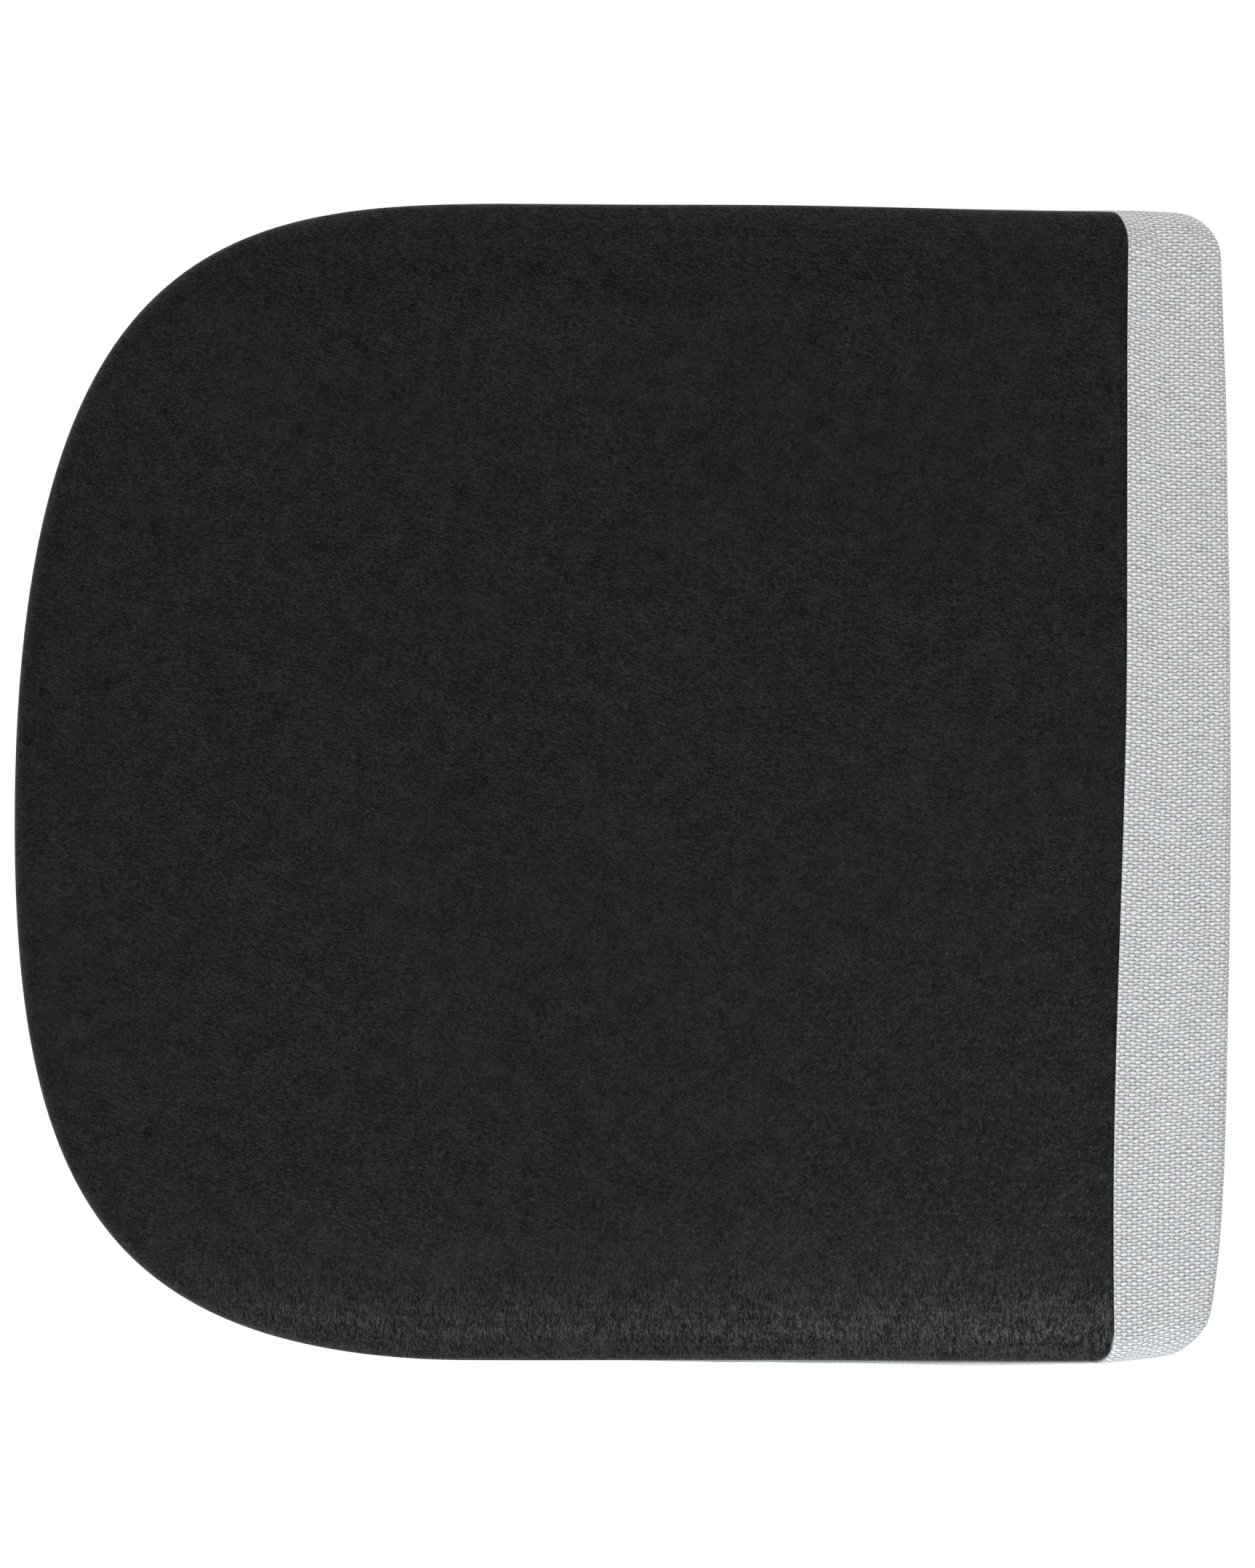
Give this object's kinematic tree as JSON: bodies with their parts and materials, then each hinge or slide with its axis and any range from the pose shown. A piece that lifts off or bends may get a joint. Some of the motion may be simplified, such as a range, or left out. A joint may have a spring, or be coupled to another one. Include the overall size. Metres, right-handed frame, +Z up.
{
  "type": "wall punch pad",
  "caption": "D-shaped upholstered striking pad with a black fibre face, a light-grey canvas gusset and a leaning end, hung on a pair of metal hook rails.",
  "frame": {"origin": "midway between the wall rail's two screw holes, on its back face, which lies on the wall", "axes": "+Z up, -Y out of the wall towards the person who strikes, +X from the round end to the straight end; the wall is the plane Y = 0"},
  "size_m": [0.317, 0.0604, 0.302],
  "materials": {
    "rail_metal": "mill finish, fine drawing lines along the rail",
    "zinc": "zinc plated",
    "dark_steel": "black oxide",
    "bumper_rubber": "matt",
    "plywood": "raw birch plywood",
    "firm_foam": "closed-cell foam, cut faces",
    "soft_foam": "open-cell foam, cut faces",
    "wadding": "polyester wadding",
    "face_cloth": "needled black fibre cloth with a faint sheen",
    "canvas": "coarse light-grey plain weave",
    "dust_cloth": "thin black bonded cloth"
  },
  "bodies": {
    "wall": {"wall_rail": "rail_metal"},
    "pad": {"pad_rail": "rail_metal", "rail_washers": "zinc", "rail_bolts": "dark_steel", "tee_nuts": "zinc", "bumpers": "bumper_rubber", "bumper_screws": "zinc", "backboard": "plywood", "base_foam": "firm_foam", "core_foam": "soft_foam", "bevel_strip": "firm_foam", "wadding": "wadding", "face_cover": "face_cloth", "gusset_cover": "canvas", "cover_staples": "zinc", "dust_cover": "dust_cloth", "dust_cover_staples": "zinc"}
  },
  "joints": [
    {"name": "lift_off", "type": "slide", "parent": "wall", "child": "pad", "axis": [0, 0, 1], "range_m": [0, 0.02]}
  ]
}
